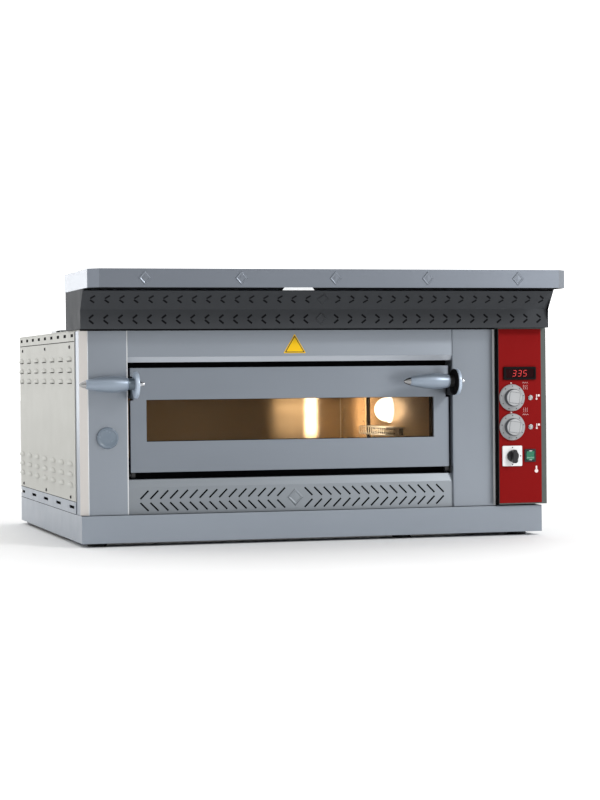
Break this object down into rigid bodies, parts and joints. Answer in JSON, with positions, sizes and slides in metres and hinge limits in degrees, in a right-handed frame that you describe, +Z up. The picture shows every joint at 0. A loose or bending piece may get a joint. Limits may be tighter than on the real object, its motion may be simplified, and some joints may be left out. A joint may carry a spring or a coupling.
{
  "type": "deck oven",
  "caption": "Single-chamber electric deck oven with a drop-down glazed door, front vapour hood, slotted fascia and a control column on the right.",
  "frame": {"origin": "on the floor under the middle of the object's box, on the plane of the feet", "axes": "+X to the right seen from the front, +Y to the back, +Z up; the door faces -Y"},
  "size_m": [1.027, 1.016, 0.568],
  "materials": {
    "stainless": "fine brushed stainless steel, blue-grey, satin",
    "lower_steel": "brushed stainless steel with slots, satin",
    "grey_paint": "smooth blue-grey enamel",
    "cream_paint": "light warm-grey enamel",
    "cap_steel": "brushed stainless steel, satin",
    "hood_paint": "dark grey enamel, semi-matt",
    "galvanised": "zinc-coated sheet, dull",
    "chamber_steel": "aluminised sheet, heat-tinted",
    "baking_stone": "rough refractory stone",
    "heater_sheath": "heat-darkened steel sheath",
    "mineral_wool": "matt mineral wool slab",
    "lamp_ceramic": "white porcelain",
    "lamp_glass": "frosted heat-proof glass",
    "guard_steel": "bright steel",
    "door_glass": "clear heat-proof glass",
    "arm_steel": "machined steel",
    "dark_metal": "blackened steel",
    "grip_satin": "satin blue-grey grip with a steel tip",
    "vent_knob": "blue-grey gloss plastic",
    "housing_paint": "dark green-grey enamel",
    "red_plate": "deep red printed plate, satin",
    "display_black": "black bezel with a tinted window",
    "lamp_lens": "clear lens, unlit",
    "switch_white": "white plastic",
    "black_plastic": "black moulded plastic",
    "knob_grey": "light grey moulded plastic",
    "rocker_green": "green translucent plastic",
    "terminal_white": "white moulded plastic",
    "sign_yellow": "yellow plate with a dark border, blank"
  },
  "bodies": {
    "casing": {"left_post": "stainless", "right_post": "stainless", "upper_fascia": "stainless", "mouth_frame": "stainless", "lower_fascia": "lower_steel", "plinth": "grey_paint", "left_bottom_rail": "grey_paint", "right_bottom_rail": "grey_paint", "left_side_panel": "cream_paint", "right_side_panel": "cream_paint", "rear_panel": "cream_paint", "left_top_rail": "cream_paint", "right_top_rail": "cream_paint", "top_cover": "cream_paint", "cap": "cap_steel", "hood_shell": "hood_paint", "hood_back_panel": "hood_paint", "steam_duct": "galvanised", "flue_box": "galvanised", "base_pan": "galvanised", "chamber_left_wall": "chamber_steel", "chamber_right_wall": "chamber_steel", "chamber_rear_wall": "chamber_steel", "chamber_ceiling": "chamber_steel", "chamber_floor": "chamber_steel", "stone_deck": "baking_stone", "top_elements": "heater_sheath", "bottom_elements": "heater_sheath", "insulation": "mineral_wool", "lamp_socket": "lamp_ceramic", "lamp_glass": "lamp_glass", "probe_guard": "guard_steel", "thermo_probe": "guard_steel", "hinge_bearings": "dark_metal", "panel_screws": "dark_metal", "control_housing": "housing_paint", "control_plate": "red_plate", "display": "display_black", "indicator_lamps": "lamp_lens", "switch_plate": "switch_white", "rocker_frame": "black_plastic", "heat_controls": "black_plastic", "contactor": "black_plastic", "cable_gland": "black_plastic", "feet": "black_plastic", "terminal_block": "terminal_white", "triangle_plate": "sign_yellow"},
    "door": {"door_skin": "stainless", "door_inner_frame": "stainless", "door_glass": "door_glass", "hinge_pins": "arm_steel", "left_handle": "grip_satin", "right_handle": "grip_satin", "handle_arms": "arm_steel"},
    "top_heat_knob": {"top_heat_knob": "knob_grey"},
    "bottom_heat_knob": {"bottom_heat_knob": "knob_grey"},
    "main_switch": {"main_switch_lever": "black_plastic"},
    "light_switch": {"light_rocker": "rocker_green"},
    "steam_slide": {"steam_knob": "vent_knob", "steam_shutter": "galvanised"}
  },
  "joints": [
    {"name": "door_hinge", "type": "hinge", "parent": "casing", "child": "door", "pos_m": [0, -0.329, 0.146], "axis": [1, 0, 0], "range_deg": [0, 90]},
    {"name": "top_heat_turn", "type": "hinge", "parent": "casing", "child": "top_heat_knob", "pos_m": [0.4335, -0.382, 0.2985], "axis": [0, 1, 0], "range_deg": [0, 300]},
    {"name": "bottom_heat_turn", "type": "hinge", "parent": "casing", "child": "bottom_heat_knob", "pos_m": [0.4335, -0.382, 0.2353], "axis": [0, 1, 0], "range_deg": [0, 300]},
    {"name": "main_switch_turn", "type": "hinge", "parent": "casing", "child": "main_switch", "pos_m": [0.433, -0.382, 0.1726], "axis": [0, 1, 0], "range_deg": [0, 90]},
    {"name": "light_switch_tilt", "type": "hinge", "parent": "casing", "child": "light_switch", "pos_m": [0.4747, -0.366, 0.173], "axis": [1, 0, 0], "range_deg": [-8, 8]},
    {"name": "steam_pull", "type": "slide", "parent": "casing", "child": "steam_slide", "axis": [0, -1, 0], "range_m": [0, 0.027]}
  ]
}
